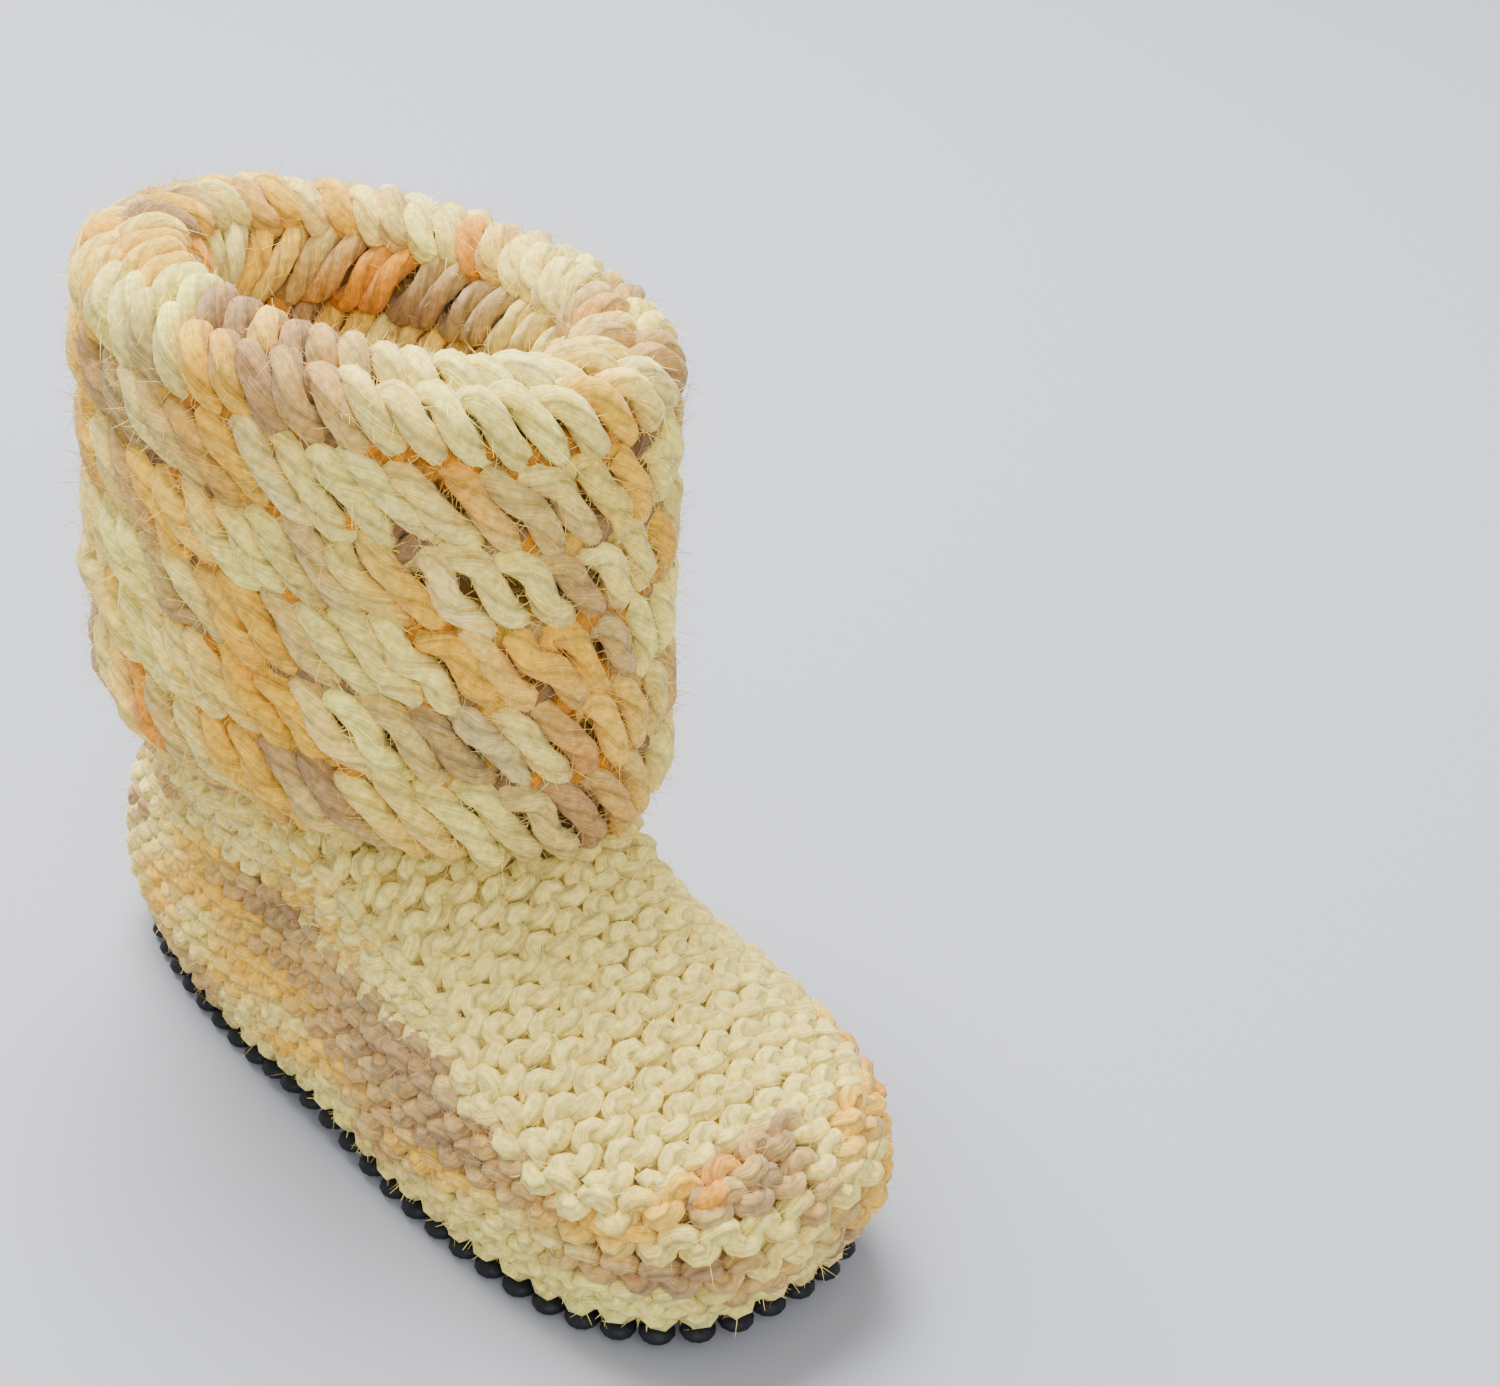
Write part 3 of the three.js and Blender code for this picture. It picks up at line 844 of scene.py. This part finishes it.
for row in range(5):
    turned_stitches(rim, 7.35 + row * 1.02, 8.0, lambda a: -0.6, cuff_dyes(CUFF_CHARTS[row]),
                    radius=1.7, start=rng.random(), points=16, sides=9)
rim.build("rim_yarn", "cuff_knit", WOOL)


# Soles
def outline(out, n=400):
    angle = np.linspace(0, 2 * PI, n)[:-1]
    return skin_moved(angle, np.zeros_like(angle), np.full(angle.shape, out))[:, :2]


def half_width(edge, y):
    right = edge[edge[:, 0] >= 0]
    order = np.argsort(right[:, 1])
    return np.interp(y, right[order, 1], right[order, 0], left=0, right=0)


def sole_line(edge, y, level, n=40):
    w = half_width(edge, y)
    x = np.linspace(-w, w, n)
    z = np.full(n, level + sole_lift(np.array(y)))
    return np.stack([x, np.full(n, y), z], -1)


SOLE_EDGE = outline(-WALL - CLEARANCE)
GRIP_EDGE = outline(0.2)
soles = Yarns()
y = SOLE_EDGE[:, 1].min() + 2.5
while y < SOLE_EDGE[:, 1].max() - 1.5:
    for level, facing in ((SEAM_HEIGHT + SOLE_THICKNESS - 1.2, 1.0), (SEAM_HEIGHT + 1.3, -1.0)):
        curve = sole_line(SOLE_EDGE, y, level)
        normal = np.tile([0.0, 0.0, facing], (len(curve), 1))
        up = np.tile([0.0, 1.0, 0.0], (len(curve), 1))
        if half_width(SOLE_EDGE, y) > 3:
            dyes = varied("ttcm", [4, 3, 2, 1], 20)
            garter(soles, curve, up, normal, STITCH, dyes, False, size=0.85, seg=6, sides=6)
    y += STITCH
soles.build("sole_yarn", "tan_knit", WOOL)


def sole_shell(u, w):
    angle = 2 * PI * u
    w = w % 1.0
    rim = skin_moved(angle, np.zeros_like(angle), np.full(angle.shape, -WALL - CLEARANCE - 0.6))
    y = rim[:, 1]
    share = np.where(w < 0.5, w * 2, 2 - w * 2)
    x = rim[:, 0] * share
    z = np.where(w < 0.5, SEAM_HEIGHT + 0.9, SEAM_HEIGHT + SOLE_THICKNESS - 0.9) + sole_lift(y)
    return np.stack([x, y, z], -1)


shell("sole_core", "tan_knit", SHADED_BACKING, sole_shell, 100, 12, "knit_sole")

BEAD, BEAD_RADIUS, STRING = 5.0, 2.35, 0.8
RIM_BEAD_PLACE = -0.4
bm = bmesh.new()
xs = np.arange(-6, 7) * BEAD
ys = np.arange(-13, 14) * BEAD
crosses = Yarns()


def inside_grip(x, y, margin=4.0):
    near = min(half_width(GRIP_EDGE, y - margin / 2), half_width(GRIP_EDGE, y + margin / 2))
    return abs(x) < near - margin + 0.01


def bead(x, y):
    lift = float(sole_lift(np.array(y)))
    where = Matrix.Translation(Vector((x, y, GRIP_THICKNESS / 2 + lift)) * MM)
    size = Matrix.Diagonal((BEAD_RADIUS * MM, BEAD_RADIUS * MM, GRIP_THICKNESS / 2 * MM, 1))
    bmesh.ops.create_uvsphere(bm, u_segments=12, v_segments=8, radius=1, matrix=where @ size)


loop, run = measured(outline(RIM_BEAD_PLACE), True)
loop = np.concatenate([loop, np.zeros((len(loop), 1))], 1)
rim_beads = round(run[-1] / BEAD)
for k in range(rim_beads):
    bead(*at_run(loop, run, k * run[-1] / rim_beads)[:2])

for i, x in enumerate(xs):
    for j, y in enumerate(ys):
        lift = float(sole_lift(np.array(y)))
        hole = i % 2 == 1 and j % 2 == 1
        if not hole:
            if not inside_grip(x, y):
                continue
            bead(x, y)
            for dx, dy in ((BEAD, 0), (0, BEAD)):
                ii, jj = (i + 1, j) if dx else (i, j + 1)
                if ii % 2 == 1 and jj % 2 == 1 or not inside_grip(x + dx, y + dy):
                    continue
                lift2 = float(sole_lift(np.array(y + dy)))
                a = Vector((x, y, GRIP_THICKNESS / 2 + lift)) * MM
                b = Vector((x + dx, y + dy, GRIP_THICKNESS / 2 + lift2)) * MM
                turn = (b - a).to_track_quat("Z", "Y").to_matrix().to_4x4()
                bmesh.ops.create_cone(bm, segments=6, radius1=STRING * MM, radius2=STRING * MM,
                                      depth=(b - a).length, matrix=Matrix.Translation((a + b) / 2) @ turn)
        elif inside_grip(x, y, 4.0):
            for sx in (-1, 1):
                t = np.linspace(-1, 1, 11)
                bow = (1 - t ** 2) * 0.35
                path = np.stack([x + t * 3.9, y + sx * t * 3.9, 1.7 + lift - bow + (sx > 0) * 0.3], -1)
                tone = rng.choice(3, p=[0.6, 0.25, 0.15])
                dye = np.tile([PALE, TAN, MAUVE][tone], (11, 1))
                crosses.add(path, np.tile([0, 0, -1.0], (11, 1)), 1.1, dye, sides=7)
for vertex in bm.verts:
    vertex.co.z = max(vertex.co.z, 0.0)
mesh = bpy.data.meshes.new("grip_beads")
bm.to_mesh(mesh)
bm.free()
for face in mesh.polygons:
    face.use_smooth = True
mesh.materials.append(RUBBER)
placed_object("grip_beads", mesh, "grip_mesh", "grip_sole")
crosses.build("cross_stitches", "tan_knit", WOOL)

# The halo of loose fibres
FLOOR_GAP = 0.2


def halo(name, slot, sources, amount, reach=2.0, width=0.1):
    """Loose fibres that stand off the yarns, as thin joined strips."""
    root, out, along, tone = [], [], [], []
    for yarns in sources:
        for points, ring, tangent, dye in yarns.roots:
            n, sides = points.shape[:2]
            root.append(points.reshape(-1, 3))
            out.append(ring.reshape(-1, 3))
            along.append(np.repeat(tangent, sides, axis=0))
            tone.append(np.repeat(dye, sides, axis=0))
    root, out, along, tone = (np.concatenate(a) for a in (root, out, along, tone))
    pick = rng.integers(0, len(root), amount)
    root, out, along, tone = root[pick], out[pick], along[pick], tone[pick]
    root = root + along * rng.normal(0, 0.5, (amount, 1))
    lean = unit(out * 0.7 + along * rng.normal(0, 0.9, (amount, 1)) + rng.normal(0, 0.45, (amount, 3)))
    curl = unit(rng.normal(0, 1, (amount, 3)))
    length = np.minimum(rng.gamma(4.0, reach / 4, amount), 2 * reach)[:, None]
    strip = []
    for t in (0.0, 1.0):
        middle = root - out * 0.15 + lean * length * t + curl * length * 0.35 * t * t
        side = unit(np.cross(lean, curl)) * width * (1 - 0.6 * t) / 2
        strip.append(np.stack([middle - side, middle + side], 1))
    points = np.stack(strip, 1).reshape(-1, 3) * MM
    points[:, 2] = np.maximum(points[:, 2], FLOOR_GAP * MM)
    faces = np.arange(amount)[:, None] * 4 + [[0, 1, 3, 2]]
    mesh = quad_mesh(name, points, faces, FIBRE)
    dyed(mesh, np.repeat(tone, 4, axis=0))
    mesh.update(calc_edges=True)
    return placed_object(name, mesh, slot)


halo("cuff_halo", "cuff_knit", [outer], 60000, reach=1.9)
halo("rim_halo", "cuff_knit", [rim], 30000, reach=1.8)
halo("foot_halo", "variegated_knit", [band, ankle], 40000, reach=1.3)
halo("panel_halo", "cream_knit", [panel], 16000, reach=1.2)

# Floor, light and camera
bpy.ops.mesh.primitive_plane_add(size=6, location=(0, 0, -FLOOR_GAP * MM))
floor = bpy.context.object
floor.name = "floor"
floor.data.materials.append(plain("backdrop", colour(162, 164, 171), roughness=0.8))


def lamp(name, place, aim, size, power, tone=(1, 1, 1)):
    data = bpy.data.lights.new(name, "AREA")
    data.size = size
    data.energy = power
    data.color = tone
    light = bpy.data.objects.new(name, data)
    bpy.context.collection.objects.link(light)
    light.location = place
    light.rotation_euler = (Vector(aim) - Vector(place)).to_track_quat("-Z", "Y").to_euler()
    return light


lamp("overhead", (0.1, 0.5, 1.1), (0, 0.05, 0), 0.8, 50)
lamp("front", (-0.5, -0.9, 0.8), (0, 0, 0.04), 0.7, 9)
world = bpy.data.worlds.new("studio")
world.use_nodes = True
world.node_tree.nodes["Background"].inputs["Color"].default_value = (0.9, 0.93, 1, 1)
world.node_tree.nodes["Background"].inputs["Strength"].default_value = 0.9
bpy.context.scene.world = world

AZIMUTH, ELEVATION, ROLL = math.radians(-44.09), math.radians(29.53), math.radians(3.6)
DISTANCE, TARGET, FOCAL_PIXELS, WIDE_PIXELS = 394.46, Vector((49.24, -0.68, 45)), 2741.65, 1500
back = Vector((math.sin(AZIMUTH) * math.cos(ELEVATION), -math.cos(AZIMUTH) * math.cos(ELEVATION),
               math.sin(ELEVATION)))
data = bpy.data.cameras.new("camera")
camera = bpy.data.objects.new("camera", data)
bpy.context.collection.objects.link(camera)
right = (-back).cross(Vector((0, 0, 1))).normalized()
upward = right.cross(-back)
cos_roll, sin_roll = math.cos(ROLL), math.sin(ROLL)
right, upward = right * cos_roll + upward * sin_roll, upward * cos_roll - right * sin_roll
turn = Matrix((right, upward, back)).transposed().to_4x4()
camera.matrix_world = Matrix.Translation((TARGET + back * DISTANCE) * MM) @ turn
data.sensor_width = 36
data.lens = 36 * FOCAL_PIXELS / WIDE_PIXELS
data.clip_start = 0.01
bpy.context.scene.camera = camera
